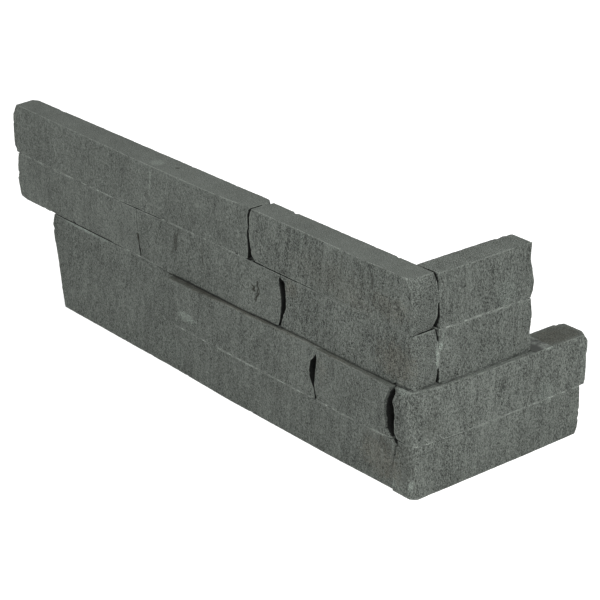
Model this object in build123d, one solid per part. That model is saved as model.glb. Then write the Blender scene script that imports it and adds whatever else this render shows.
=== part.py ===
from build123d import *
import math
import os

# A stacked stone corner panel: thirteen split-faced sandstone pieces glued into four courses.
# Each leg is drawn in its own leg frame, seen from outside: u runs to the right along the
# nominal face, d runs back into the wall and z is up. The outside corner is at u = 0, so the
# long leg lies at negative u and the return at positive u.

# Sawn sizes of the stones, in millimetres
STONE_HEIGHT = 37.65
STONE_DEPTH = 21.0
TOP_CORNER_DEPTH = 19.2
SECOND_CORNER_DEPTH = 20.0

# Glue and joints
BED_THICKNESS = 0.6
CORNER_GLUE = 0.6
SEAM_GAP = 0.4
GLUE_FACE_SETBACK = 5.0
GLUE_BACK_SETBACK = 3.0
GLUE_SQUEEZE_SETBACK = 0.8
GLUE_END_SETBACK = 10.0
GLUE_TONGUE = 15.0
RUN_OUT_START = 0.3
RUN_OUT_STOP = 0.84

# How far the courses reach from the outside corner
UPPER_REACH = 467.5
LOWER_REACH = 420.5
UPPER_RETURN = 102.8
LOWER_RETURN = 151.0

# Seams in the long leg, measured from the outside corner
TOP_SEAM = 168.0
SECOND_LEFT_SEAM = 300.5
SECOND_RIGHT_SEAM = 135.0
TALL_SEAM = 258.5
THIRD_SEAM = 96.0

# Split faces
RELIEF = 0.7
RELIEF_WAVE = 55.0
FACE_STEP = 14.0
FACE_ROWS = 6
CHIP_TAPER = 0.3

COURSE_PITCH = STONE_HEIGHT + BED_THICKNESS
BOTTOM, THIRD, SECOND, TOP = range(4)
TALL_HEIGHT = COURSE_PITCH + STONE_HEIGHT
WALL_HEIGHT = TOP * COURSE_PITCH + STONE_HEIGHT
LEFT_BANK, RIGHT_BANK = -1, 1

# Broken seams from foot to head: share of the height, drift along the leg, opening
TOP_BREAK = [
    (0, 3.0, 5.6),
    (0.12, 1.1, 2.5),
    (0.28, 0.5, 1.6),
    (0.55, -0.2, 1.0),
    (0.8, 0.6, 1.0),
    (1, 3.0, 1.6),
]
SECOND_LEFT_BREAK = [(0, -0.3, 0.2), (0.5, 0.3, 0), (1, 0.2, 0.3)]
SECOND_RIGHT_BREAK = [
    (0, -1.5, 0.4),
    (0.12, -0.4, 0.8),
    (0.26, 1.5, 2.0),
    (0.43, 3.8, 4.4),
    (0.6, 3.6, 4.6),
    (0.88, 1.8, 4.6),
    (0.94, -0.4, 0.3),
    (1, -0.4, 0.3),
]
TALL_LOWER_BREAK = [(0, 0, 0.2), (0.6, -0.4, 0), (1, 0, 0.6)]
TALL_UPPER_BREAK = [(0, 0, 0.3), (0.4, 0.4, 0), (1, 0.2, 0.2)]
THIRD_BREAK = [
    (0, 0.2, 0),
    (0.12, -0.4, 0.3),
    (0.26, -2.0, 1.2),
    (0.48, -2.8, 4.9),
    (0.68, -1.6, 5.3),
    (0.84, 0.4, 2.4),
    (0.92, 1.0, 0.1),
    (1, 1.7, 0.1),
]
NOSE_BREAK = [(0, -0.2, 0), (0.5, 0.6, 0), (0.92, 4.0, 0), (1, 1.2, 0)]

# Broken near ends of the butted return stones: share of the height, step back from the glue
TOP_RETURN_BREAK = [(0, 1.5), (0.06, 0.8), (0.2, 1.2), (0.5, 0.6), (1, 0)]
SECOND_RETURN_BREAK = [(0, 1.8), (0.14, 1.6), (0.26, 1.0), (0.35, 0.4), (1, 0.1)]
FLAT = [(0, 0), (1, 0)]

# Worn vertical corners: radius, how far the stone's end stands back, depth of its face
TOP_WEAR = (7.0, 0.6, -0.8)
SECOND_WEAR = (8.0, 1.4, 0.5)
THIRD_WEAR = (8.0, -0.8, 0.6)
BOTTOM_WEAR = (7.0, 0.4, 0.8)

# Chips: steps along the leg, in depth and in height from a corner of the stone, and the way
# the broken facet looks
TOP_END_CHIP = ((4.5, 0, 0), (-0.87, -0.13, 0.48))
TOP_END_BACK_CHIP = ((4.4, -1.2, 0), (-0.45, 0.89, 0.15))
TOP_SEAM_CHIP = ((-1.0, -2.0, 0), (0.7, 0.7, 0.25))
BLUNT_TIP = ((-7.0, 2.0, 0), (0.8, -0.4, 0.45))
BACK_FOOT_CHIP = ((-2.0, -1.8, 4.0), (0.35, 0.85, -0.4))
TOP_RETURN_CHIP = ((-3.0, 0.7, 0), (0.7, -0.45, 0.45))
TOP_RETURN_BACK_CHIP = ((-2.7, -2.0, 0), (0.7, 0.7, 0.15))
THIRD_FAR_CHIP = ((-3.7, -3.5, 0), (0.88, -0.47, 0.58))
THIRD_FAR_BACK_CHIP = ((-0.7, -3.0, 0), (0.4, 0.9, 0.15))
LONG_NOTCH = ((1.5, 0, -1.0), (-0.6, -0.5, 0.6))


def leg_point(u, z):
    """A point in front of every face, where the stones' front views are drawn."""
    return (u, -STONE_DEPTH, z)


def bank(place, seam, course, side):
    """One side of a broken seam, from foot to head."""
    foot = course * COURSE_PITCH
    return [
        leg_point(place + drift + side * (SEAM_GAP + opening) / 2, foot + share * STONE_HEIGHT)
        for share, drift, opening in seam
    ]


def end(place, insets, course, inward, height=STONE_HEIGHT):
    """A free end from foot to head: insets hold shares of the height and steps inward."""
    foot = course * COURSE_PITCH
    return [leg_point(place + inward * inset, foot + share * height) for share, inset in insets]


def front_view(left, right):
    """Outline of a stone between its two end curves, which run from foot to head."""
    rim = Curve() + [left, right, Line(left @ 0, right @ 0), Line(left @ 1, right @ 1)]
    return make_face(rim.edges())


def panel_between(left_points, right_points):
    """Front view between two broken lines, both listed from foot to head."""
    return make_face(Polyline(left_points + right_points[::-1], close=True))


def between(values, share):
    """Value at a share of the way along an evenly spaced list."""
    place = min(max(share, 0), 1) * (len(values) - 1)
    index = min(int(place), len(values) - 2)
    return values[index] + (values[index + 1] - values[index]) * (place - index)


def split_face(left, right, foot, height, foot_depths, head_depths):
    """Everything behind a rough split face that follows the depths of its lower and upper arris."""
    length = right - left
    steps = round(length / FACE_STEP)
    grid = []
    for column in range(-1, steps + 2):
        along = column / steps
        u = left + along * length
        ripple = RELIEF * math.sin(math.tau * u / RELIEF_WAVE + foot)
        line = []
        for row in range(-1, FACE_ROWS + 1):
            up = row / (FACE_ROWS - 1)
            arris_depth = between([between(foot_depths, along), between(head_depths, along)], up)
            bulge = ripple * math.sin(math.pi * min(max(up, 0), 1))
            line.append((u, arris_depth + bulge, foot + up * height))
        grid.append(line)
    face = Face.make_surface_from_array_of_points(grid)
    return Solid.extrude(face, Vector(0, 2 * STONE_DEPTH, 0))


def stone(left, right, span, course, foot_depths, head_depths, depth=STONE_DEPTH, height=STONE_HEIGHT):
    """Sawn block between two end curves, with its face split between the ends of span."""
    block = extrude(front_view(left, right), amount=STONE_DEPTH + depth, dir=(0, 1, 0))
    foot = course * COURSE_PITCH
    return block & split_face(*span, foot, height, foot_depths, head_depths)


def worn_corner(wear, side):
    """Waste outside a rounded vertical corner at u = 0; side is the way its end looks."""
    radius, end_inset, face_depth = wear
    centre = Pos(-radius - end_inset, radius + face_depth)
    around = centre * Rectangle(STONE_DEPTH, STONE_DEPTH, align=(Align.MIN, Align.MAX))
    waste = extrude(around - centre * Circle(radius), amount=WALL_HEIGHT)
    return waste if side > 0 else mirror(waste, about=Plane.YZ)


def chip(corner, facet):
    """Waste beyond a broken facet near a corner of a stone."""
    step, outward = facet
    at = Vector(*corner) + Vector(*step)
    block = Box(STONE_HEIGHT, STONE_HEIGHT, STONE_DEPTH, align=(Align.CENTER, Align.CENTER, Align.MIN))
    return Plane(origin=at, z_dir=outward) * block


def on_long_leg(shape):
    """Places a leg-frame shape so that the backs of both legs meet at the origin."""
    return Pos(STONE_DEPTH, -STONE_DEPTH, 0) * shape


def on_return(shape):
    """Turns a leg-frame shape round the outside corner and places it."""
    return Pos(STONE_DEPTH, -STONE_DEPTH, 0) * Rot(0, 0, 90) * shape


def top_left_stone():
    """The longest stone, chipped at both ends of its back."""
    ends = [(0, 3.6), (0.08, 2.7), (0.13, 1.2), (0.4, 0.4), (0.77, 0.2), (1, 1.4)]
    left = Polyline(end(-UPPER_REACH, ends, TOP, 1))
    right = Polyline(bank(-TOP_SEAM, TOP_BREAK, TOP, LEFT_BANK))
    block = stone(
        left,
        right,
        (-UPPER_REACH, -TOP_SEAM),
        TOP,
        foot_depths=[0.1, -0.5, -1.0, -1.1, 0.6, 1.1, 1.1],
        head_depths=[2.1, 1.0, 0.0, -0.9, -1.2, -1.4, 0.7],
    )
    front_chip = chip((-UPPER_REACH, 0, WALL_HEIGHT), TOP_END_CHIP)
    back_chip = chip((-UPPER_REACH, STONE_DEPTH, WALL_HEIGHT), TOP_END_BACK_CHIP)
    seam_chip = chip((-TOP_SEAM, STONE_DEPTH, WALL_HEIGHT), TOP_SEAM_CHIP)
    return on_long_leg(block - front_chip - back_chip - seam_chip)


def top_corner_stone():
    """Thinner stone that runs through the corner and shows its end on the return."""
    ends = [(0, 3.4), (0.15, 1.6), (0.5, 0.6), (0.85, 1.8), (1, 4.2)]
    left = Polyline(bank(-TOP_SEAM, TOP_BREAK, TOP, RIGHT_BANK))
    right = Spline(end(0, ends, TOP, -1))
    block = stone(
        left,
        right,
        (-TOP_SEAM, 0),
        TOP,
        foot_depths=[1.1, 1.0, 1.3, 1.0, 0.8, 0.6, 0.5],
        head_depths=[0.8, 0.6, 0.5, -0.3, -1.5, -0.8, -1.0],
        depth=TOP_CORNER_DEPTH,
    )
    blunt_tip = chip((0, 0, WALL_HEIGHT), BLUNT_TIP)
    back_chip = chip((0, TOP_CORNER_DEPTH, TOP * COURSE_PITCH), BACK_FOOT_CHIP)
    return on_long_leg(block - worn_corner(TOP_WEAR, 1) - blunt_tip - back_chip)


def second_left_stone():
    """Free-end stone of the second course, with its lower corner broken away."""
    ends = [(0, 12), (0.04, 5.5), (0.17, 3.0), (0.42, 2.2), (0.65, 3.6), (1, 5.8)]
    left = Polyline(end(-UPPER_REACH, ends, SECOND, 1))
    right = Polyline(bank(-SECOND_LEFT_SEAM, SECOND_LEFT_BREAK, SECOND, LEFT_BANK))
    block = stone(
        left,
        right,
        (-UPPER_REACH, -SECOND_LEFT_SEAM),
        SECOND,
        foot_depths=[1.9, 1.6, 1.7, 1.5],
        head_depths=[0.0, -0.7, -1.2, -1.0],
    )
    return on_long_leg(block)


def second_middle_stone():
    """Middle stone of the second course, sunk behind the ledge of the course below."""
    left = Polyline(bank(-SECOND_LEFT_SEAM, SECOND_LEFT_BREAK, SECOND, RIGHT_BANK))
    right = Polyline(bank(-SECOND_RIGHT_SEAM, SECOND_RIGHT_BREAK, SECOND, LEFT_BANK))
    block = stone(
        left,
        right,
        (-SECOND_LEFT_SEAM, -SECOND_RIGHT_SEAM),
        SECOND,
        foot_depths=[1.5, -0.5, -0.4, -1.0, 1.0],
        head_depths=[-0.8, 0.9, 1.1, 1.1, 1.0],
    )
    return on_long_leg(block)


def second_corner_stone():
    """Second-course stone that runs through the corner."""
    ends = [(0, 3.5), (0.12, 2.0), (0.5, 1.0), (0.85, 1.8), (1, 3.6)]
    left = Polyline(bank(-SECOND_RIGHT_SEAM, SECOND_RIGHT_BREAK, SECOND, RIGHT_BANK))
    right = Spline(end(0, ends, SECOND, -1))
    block = stone(
        left,
        right,
        (-SECOND_RIGHT_SEAM, 0),
        SECOND,
        foot_depths=[1.0, 1.4, 0.5, 0.4, 0.8, 2.0],
        head_depths=[1.0, 1.3, 1.1, 0.9, 0.7, 0.5],
        depth=SECOND_CORNER_DEPTH,
    )
    return on_long_leg(block - worn_corner(SECOND_WEAR, 1))


def jumper_stone():
    """Tall stone at the free end that rises through the two lower courses."""
    ends = [(0, 10), (0.05, 9), (0.2, 7), (0.3, 6.6), (0.64, 2.8), (0.72, 0.9), (0.88, 0.4), (1, 4)]
    lower_bank = bank(-TALL_SEAM, TALL_LOWER_BREAK, BOTTOM, LEFT_BANK)
    upper_bank = bank(-TALL_SEAM, TALL_UPPER_BREAK, THIRD, LEFT_BANK)
    block = stone(
        Polyline(end(-LOWER_REACH, ends, BOTTOM, 1, TALL_HEIGHT)),
        Polyline(lower_bank + upper_bank),
        (-LOWER_REACH, -TALL_SEAM),
        BOTTOM,
        foot_depths=[2.5, 2.4, 2.2, 2.0, 1.9],
        head_depths=[1.9, 1.6, 1.5, 1.5, 0.9],
        height=TALL_HEIGHT,
    )
    return on_long_leg(block)


def third_left_stone():
    """Proud stone whose upper arris makes the widest ledge."""
    left = Polyline(bank(-TALL_SEAM, TALL_UPPER_BREAK, THIRD, RIGHT_BANK))
    right = Polyline(bank(-THIRD_SEAM, THIRD_BREAK, THIRD, LEFT_BANK))
    block = stone(
        left,
        right,
        (-TALL_SEAM, -THIRD_SEAM),
        THIRD,
        foot_depths=[-1.3, -1.6, -1.9, -2.0, -2.0, -2.0, -2.0, -2.0],
        head_depths=[-6.4, -6.1, -5.5, -3.2, -2.9, -2.1, -1.0, -0.3],
    )
    return on_long_leg(block)


def third_right_stone():
    """Short stone beside the open joint at the corner."""
    ends = [(0, 0.6), (0.14, 2.4), (0.4, 3.3), (0.64, 3.3), (0.85, 2.2), (1, 1.0)]
    left = Polyline(bank(-THIRD_SEAM, THIRD_BREAK, THIRD, RIGHT_BANK))
    right = Polyline(end(-STONE_DEPTH - SEAM_GAP, ends, THIRD, -1))
    block = stone(
        left,
        right,
        (-THIRD_SEAM, -STONE_DEPTH),
        THIRD,
        foot_depths=[-2.0, -1.9, -2.2, -1.9, -0.6],
        head_depths=[-2.8, -3.3, -2.8, -3.6, -4.3],
    )
    return on_long_leg(block)


def bottom_long_stone():
    """Long stone of the bottom course, broken aslant where it meets the corner stone."""
    left = Polyline(bank(-TALL_SEAM, TALL_LOWER_BREAK, BOTTOM, RIGHT_BANK))
    right = Polyline(bank(-STONE_DEPTH, NOSE_BREAK, BOTTOM, LEFT_BANK))
    block = stone(
        left,
        right,
        (-TALL_SEAM, -STONE_DEPTH),
        BOTTOM,
        foot_depths=[1.8, 0.3, 0.6, 0.8, 2.4],
        head_depths=[-1.5, -1.9, -2.0, -2.0, -1.2],
    )
    notch = chip((-TALL_SEAM, 0, STONE_HEIGHT), LONG_NOTCH)
    return on_long_leg(block - notch)


def top_return_stone():
    """Top stone of the return, butted against the back of the thin corner stone."""
    far_ends = [(0, 3.8), (0.12, 1.4), (0.28, 0.3), (0.49, 1.6), (0.7, 3.7), (1, 2.7)]
    near = TOP_CORNER_DEPTH + CORNER_GLUE
    block = stone(
        Polyline(end(near, TOP_RETURN_BREAK, TOP, 1)),
        Polyline(end(UPPER_RETURN, far_ends, TOP, -1)),
        (near, UPPER_RETURN),
        TOP,
        foot_depths=[0.4, 0.4, 0.1, 0.0, -0.2],
        head_depths=[1.6, 0.7, 1.2, 1.4, 0.9],
    )
    front_chip = chip((UPPER_RETURN, 0, WALL_HEIGHT), TOP_RETURN_CHIP)
    back_chip = chip((UPPER_RETURN, STONE_DEPTH, WALL_HEIGHT), TOP_RETURN_BACK_CHIP)
    return on_return(block - front_chip - back_chip)


def second_return_stone():
    """Second stone of the return, butted against the back of the corner stone."""
    far_ends = [(0, 0.8), (0.2, 1.8), (0.35, 2.6), (0.66, 1.4), (0.84, 2.6), (1, 3.6)]
    near = SECOND_CORNER_DEPTH + CORNER_GLUE
    block = stone(
        Polyline(end(near, SECOND_RETURN_BREAK, SECOND, 1)),
        Polyline(end(UPPER_RETURN, far_ends, SECOND, -1)),
        (near, UPPER_RETURN),
        SECOND,
        foot_depths=[2.2, 0.5, 0.8, 1.3, 0.9],
        head_depths=[0.4, 0.4, 0.1, 0.0, -0.2],
    )
    return on_return(block)


def third_nose_waste():
    """Ragged chip off the nose of the third-course return stone, dying out in its back."""
    ragged = [(0, 3.4), (0.1, 1.6), (0.43, 2.7), (0.56, 2.0), (0.7, 0.4), (0.9, 1.5), (1, 1.8)]
    inner = end(-STONE_DEPTH, ragged, THIRD, 1)
    outer = end(-2 * STONE_DEPTH, FLAT, THIRD, 1)
    taper = CHIP_TAPER * STONE_DEPTH
    profile = Pos(taper, 0, 0) * panel_between(inner, outer)
    return extrude(profile, amount=3 * STONE_DEPTH, dir=(-taper, STONE_DEPTH, 0))


def third_return_stone():
    """Long return stone that runs through the corner and stands proud of the stone above."""
    near_ends = [(0, 0.8), (0.5, -0.3), (1, -1.1)]
    far_ends = [(0, 0.6), (0.1, 0.1), (0.35, 0.3), (0.59, 1.4), (0.7, 0.4), (1, 0.7)]
    block = stone(
        Spline(end(0, near_ends, THIRD, 1)),
        Polyline(end(LOWER_RETURN, far_ends, THIRD, -1)),
        (0, LOWER_RETURN),
        THIRD,
        foot_depths=[1.0, -1.5, -2.0, -1.6, -1.8, -2.0],
        head_depths=[2.6, -1.6, -3.1, -3.1, -3.3, -3.7],
    )
    far_chip = chip((LOWER_RETURN, 0, TALL_HEIGHT), THIRD_FAR_CHIP)
    back_chip = chip((LOWER_RETURN, STONE_DEPTH, TALL_HEIGHT), THIRD_FAR_BACK_CHIP)
    worn = block - worn_corner(THIRD_WEAR, -1) - far_chip - back_chip
    return on_return(worn) - on_long_leg(third_nose_waste())


def bottom_nose_waste():
    """Room for the slanting end of the bottom long stone, one seam gap away from it."""
    inner = bank(-STONE_DEPTH, NOSE_BREAK, BOTTOM, RIGHT_BANK)
    outer = end(-2 * STONE_DEPTH, FLAT, BOTTOM, 1)
    return extrude(panel_between(inner, outer), amount=2 * STONE_DEPTH + SEAM_GAP, dir=(0, 1, 0))


def bottom_return_stone():
    """Base stone of the return, with its nose broken aslant under the open joint."""
    near_ends = [(0, 0.8), (0.5, 0.4), (1, 0.6)]
    far_ends = [(0, 3.0), (0.12, 1.6), (0.5, 2.5), (0.82, 3.7), (1, 4.6)]
    block = stone(
        Spline(end(0, near_ends, BOTTOM, 1)),
        Polyline(end(LOWER_RETURN, far_ends, BOTTOM, -1)),
        (0, LOWER_RETURN),
        BOTTOM,
        foot_depths=[1.1, 1.3, 1.5, 2.5],
        head_depths=[1.0, -1.6, -1.7, -1.9],
    )
    worn = block - worn_corner(BOTTOM_WEAR, -1)
    return on_return(worn) - on_long_leg(bottom_nose_waste())


def glue_strip(start, stop, course, front=GLUE_FACE_SETBACK):
    """Flat strip of glue on top of a course, held back from the faces and backs."""
    back = STONE_DEPTH - GLUE_BACK_SETBACK
    strip = Box(stop - start, back - front, BED_THICKNESS, align=(Align.MIN, Align.MIN, Align.MIN))
    return Pos(start, front, course * COURSE_PITCH + STONE_HEIGHT) * strip


def glue_bed(course, reach, return_reach):
    """L-shaped bed of glue on top of a course."""
    corner = -GLUE_FACE_SETBACK
    long_strip = on_long_leg(glue_strip(-reach + GLUE_FACE_SETBACK, corner, course))
    return long_strip + on_return(glue_strip(-corner, return_reach, course))


def top_glue_bed():
    """Bed under the top course."""
    return glue_bed(SECOND, UPPER_REACH - GLUE_END_SETBACK, UPPER_RETURN - GLUE_END_SETBACK)


def middle_glue_bed():
    """Bed under the second course, with a tongue squeezed out on the ledge past the return."""
    start = UPPER_RETURN - GLUE_END_SETBACK
    bed = glue_bed(THIRD, LOWER_REACH - GLUE_FACE_SETBACK, start)
    tongue = glue_strip(start, UPPER_RETURN + GLUE_TONGUE, THIRD, front=-GLUE_SQUEEZE_SETBACK)
    return bed + on_return(tongue)


def bottom_glue_bed():
    """Bed between the two lower courses, from the tall stone to the end of the return."""
    return glue_bed(BOTTOM, TALL_SEAM - GLUE_FACE_SETBACK, LOWER_RETURN - GLUE_END_SETBACK)


def corner_glue(stone_back, broken_end, course, front):
    """Glue between the back of a corner stone and the broken end of the return stone."""
    stone_side = end(stone_back, FLAT, course, 1)
    return_side = end(stone_back + CORNER_GLUE, broken_end, course, 1)
    panel = Pos(0, STONE_DEPTH + front, 0) * panel_between(stone_side, return_side)
    return extrude(panel, amount=STONE_DEPTH - GLUE_BACK_SETBACK - front, dir=(0, 1, 0))


def top_corner_glue():
    """Hidden butt joint at the top of the corner."""
    return on_return(corner_glue(TOP_CORNER_DEPTH, TOP_RETURN_BREAK, TOP, GLUE_FACE_SETBACK))


def second_corner_glue():
    """Butt joint below it, where glue has run out to the face over the upper part."""
    hidden = corner_glue(SECOND_CORNER_DEPTH, SECOND_RETURN_BREAK, SECOND, GLUE_FACE_SETBACK)
    run_out = corner_glue(SECOND_CORNER_DEPTH, SECOND_RETURN_BREAK, SECOND, GLUE_SQUEEZE_SETBACK)
    run_out_foot = SECOND * COURSE_PITCH + RUN_OUT_START * STONE_HEIGHT
    above = Pos(0, 0, run_out_foot) * Box(
        WALL_HEIGHT,
        WALL_HEIGHT,
        STONE_HEIGHT * (RUN_OUT_STOP - RUN_OUT_START),
        align=(Align.CENTER, Align.CENTER, Align.MIN),
    )
    return on_return(hidden + (run_out & above))


NODES = {
    "top_left_stone": top_left_stone,
    "top_corner_stone": top_corner_stone,
    "second_left_stone": second_left_stone,
    "second_middle_stone": second_middle_stone,
    "second_corner_stone": second_corner_stone,
    "jumper_stone": jumper_stone,
    "third_left_stone": third_left_stone,
    "third_right_stone": third_right_stone,
    "bottom_long_stone": bottom_long_stone,
    "top_return_stone": top_return_stone,
    "second_return_stone": second_return_stone,
    "third_return_stone": third_return_stone,
    "bottom_return_stone": bottom_return_stone,
    "top_glue_bed": top_glue_bed,
    "middle_glue_bed": middle_glue_bed,
    "bottom_glue_bed": bottom_glue_bed,
    "top_corner_glue": top_corner_glue,
    "second_corner_glue": second_corner_glue,
}

os.makedirs("parts", exist_ok=True)
for name, build in NODES.items():
    export_step(build(), f"parts/{name}.step")
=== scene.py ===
import itertools
import math

import bmesh
import bpy
import numpy as np
from mathutils import Matrix, Vector
from mathutils.bvhtree import BVHTree
from mathutils.kdtree import KDTree

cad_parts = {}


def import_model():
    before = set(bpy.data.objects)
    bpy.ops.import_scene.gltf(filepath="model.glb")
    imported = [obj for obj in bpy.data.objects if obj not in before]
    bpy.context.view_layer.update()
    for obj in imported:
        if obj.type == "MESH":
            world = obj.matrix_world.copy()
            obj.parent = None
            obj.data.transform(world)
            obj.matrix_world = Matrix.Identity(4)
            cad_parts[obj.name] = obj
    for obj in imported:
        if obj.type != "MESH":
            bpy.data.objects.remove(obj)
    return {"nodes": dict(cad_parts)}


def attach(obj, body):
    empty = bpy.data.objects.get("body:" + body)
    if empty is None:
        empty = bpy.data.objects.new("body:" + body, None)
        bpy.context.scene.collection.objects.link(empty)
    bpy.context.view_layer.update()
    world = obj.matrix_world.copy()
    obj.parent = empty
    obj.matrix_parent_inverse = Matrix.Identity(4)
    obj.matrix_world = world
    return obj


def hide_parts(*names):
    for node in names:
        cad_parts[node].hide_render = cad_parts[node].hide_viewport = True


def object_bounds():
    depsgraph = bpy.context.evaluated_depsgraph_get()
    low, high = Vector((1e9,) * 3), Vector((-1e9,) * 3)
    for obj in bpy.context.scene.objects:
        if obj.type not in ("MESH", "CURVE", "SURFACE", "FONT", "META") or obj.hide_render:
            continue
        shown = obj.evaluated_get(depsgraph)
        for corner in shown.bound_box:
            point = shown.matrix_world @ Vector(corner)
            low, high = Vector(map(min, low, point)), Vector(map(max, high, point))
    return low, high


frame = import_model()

CAD_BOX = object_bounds()
MM = 0.001

# Camera: where it stands in metres, its angles in degrees and its lens in millimetres
CAMERA_PLACE = (0.87702, -0.79103, 0.63405)
CAMERA_AZIMUTH = 51.53
CAMERA_ELEVATION = 23.196
CAMERA_ROLL = -0.775
CAMERA_LENS = 123.22

# Stone meshes, in millimetres
CELL = 0.8
WELD = 0.008
ARRIS_STEP = 0.4
ARRIS_REACH = 0.7
JOINT_REACH = 8
CLOSED_SEAM = 0.5
TOUCH = 0.03
LEDGE = 75.9
LEVEL_BAND = 1
BITE_REACH = 14
BITE_FADE_X = (3, 6)
BITE_FADE_Y = (-12, -6)
BOX_FADE = 1.0

# Plain numbers for the noise and for the grid that a stone is remeshed on
SEED = 7
TABLE_SIZE = 256
NOISE_GAIN = 1.7
GRID_SHARE = 0.99

# Which way a surface looks: the angle at an arris, then the parts of a normal that decide
SHARP_ANGLE = math.radians(40)
UPRIGHT = 0.6
SAWN_FROM = 0.85
ACROSS = 0.35
LEVEL = 0.3
END_NORMAL = (0.3, 0.7)

# Relief in millimetres: height, then grain along x, y and z
BROAD = (0.4, (15, 15, 24))
STREAK_GRAIN = (3.2, 3.2, 11)
LUMP_GRAIN = (3.2, 3.2, 4)
MIDDLE_HEIGHT = 0.28
FINE = (0.2, (1.7, 1.7, 2.8))
PITS = (0.45, (1.6, 1.6, 2.8))
PIT_LIMITS = (0.15, 0.7)
SAWN = (0.06, (1.8, 1.8, 1.8))
EDGE_RELIEF = 0.35
EDGE_CALM = 3

# Wear of the arrises in millimetres, with the share of it that is left at the foot
WORN = (0.10, (3, 3, 3))
WORN_REACH = 1.0
CHIPS = (0.9, (7, 7, 5))
CHIP_LIMITS = (0.45, 0.85)
CHIP_REACH = 2.2
CHIP_STEEPNESS = 1.5
BRUISE_REACH = 1.8
FOOT_WEAR = 0.4
FOOT_HEIGHTS = (0.5, 4)

# Shifts that give each stone and each use its own stretch of noise
STONE_SHIFT = 3.7
PIT_SHIFT = 9.3
CHIP_SHIFT = 4.1

# Shades, darker back edges, painted shade and dirt on ledges, and strokes: shares, with reaches in
# millimetres
SAWN_SHADE = 0.94
END_SHADE = 0.93
END_STREAKS = 0.8
# How much the back edge of each sawn head is darkened
BACK_DARKENING = 0.6
BACK_REACH = 1.2
BLOT_FADE = 0.6
BLOT_MARGIN = 1.4
# Share of the ledges' painted shade and dirt that is left at their arrises
LEDGE_EDGE_SHADE_AND_DIRT = 0.5
LEDGE_EDGE = (0.5, 4)
STROKE_DEPTH = 4
STROKE_SOFT = 1.5

# Ragged outlines of the blots and of the painted shade and dirt on ledges: height, grain, and for ledges
# the shift
BLOT_RAGS = ((0.35, (3, 3, 3)), (0.2, (1.3, 1.3, 1.3)))
LEDGE_RAGS = ((0.25, (5, 5, 5), 2.2), (0.15, (1.5, 1.5, 1.5), 5.1))

# Patterns in the materials: grain in millimetres, detail, then the range of noise that counts
PATTERNS = {
    "streaks": ((0.9, 0.9, 1.9), 2, 0.34, 0.66),
    "grain": ((0.6, 0.6, 0.6), 0, 0.3, 0.7),
    "fibres": ((4, 4, 26), 2, 0.34, 0.66),
    "clouds": ((7, 7, 12), 3, 0.3, 0.7),
    "drift": ((30, 30, 40), 1, 0.3, 0.7),
    "glints": ((0.75, 0.75, 0.75), 1, 0.60, 0.72),
    # Breaks in the painted highlight along the arrises
    "highlight_breaks": ((6, 6, 6), 3, 0.36, 0.56),
    "glue_blotches": ((5, 5, 5), 3, 0.35, 0.65),
    "glue_specks": ((0.8, 0.8, 0.8), 1, 0.35, 0.6),
}
FIBRE_LEAN = math.radians(9)

# How light each grey-green is, and its red and blue against its green
DARK_GRAIN = 0.033
LIGHT_GRAIN = 0.233
GLINT = 0.34
# Painted highlight: the arrises are lightened towards this grey
ARRIS_HIGHLIGHT = 0.30
# Painted shade: the stone is drawn near black inside open seams
JOINT_SHADE = 0.012
GLUE_IN_SHADE = 0.045
GLUE_WIPED = 0.48
RED_SHARE = 0.91
BLUE_SHARE = 0.90

# Other colours
BROWN_TINT = (1.045, 0.96, 0.895, 1)
PALE_FILM = (0.38, 0.44, 0.39, 1)
# Dark blots, dark strokes and darker back edges go towards this colour, and so do the painted shade and
# dirt on ledges
DIRT_AND_SHADE = (0.017, 0.016, 0.011, 1)
FLOOR_WHITE = (0.82, 0.82, 0.82, 1)
WHITE = (1, 1, 1, 1)

# Gloss of the materials, and the height in millimetres and strengths of the stone's bump
STONE_ROUGHNESS = 0.92
STONE_SPECULAR = 0.25
GLUE_ROUGHNESS = 0.7
BUMP_HEIGHT = 0.22
SAWN_BUMP = 0.3
SPLIT_BUMP = 0.9

# The studio: half the floor's side in metres, its glow, the world's light and what the camera sees
FLOOR_REACH = 8.0
FLOOR_GLOW = 0.6
WORLD_LIGHT = 0.45
BACKDROP = 1.0

# Each stone's own grain strength where split and where sawn, its fibres and its shade
LOOKS = {
    "top_left_stone": (0.78, 0.98, 0.15, 0.94),
    "top_corner_stone": (1.08, 1.0, 0.34, 0.90),
    "top_return_stone": (1.05, 2.0, 0.2, 0.82),
    "second_left_stone": (0.73, 0.7, 0.2, 1.0),
    "second_middle_stone": (0.86, 0.88, 0.12, 0.935),
    "second_corner_stone": (1.18, 1.05, 0.2, 0.88),
    "second_return_stone": (1.1, 1.1, 0.2, 0.875),
    "jumper_stone": (0.90, 0.8, 0.2, 0.935),
    "third_left_stone": (0.88, 0.88, 0.2, 0.94),
    "third_right_stone": (0.88, 0.85, 0.2, 0.92),
    "third_return_stone": (1.05, 1.05, 0.2, 0.98),
    "bottom_long_stone": (0.86, 0.8, 0.25, 0.92),
    "bottom_return_stone": (1.0, 1.0, 0.2, 0.98),
}

# The panel's lines that the glue follows, in millimetres
FACE_X = 21
FACE_Y = -21
GLUE_BACK = 3
GLUE_STEP = 0.8
BED = 0.6
CORNER_ROUND = 8
CORNER_STEPS = 16
FAR = 60
DEEPEST = 6
INTO_STONE = 0.5
INTO_BUTT = 0.3
PAST_JOINT = 0.1
ON_CORNER_STONE = 1
ON_RETURN_STONE = 0.6
GLUE_WELD = 0.0008

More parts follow.
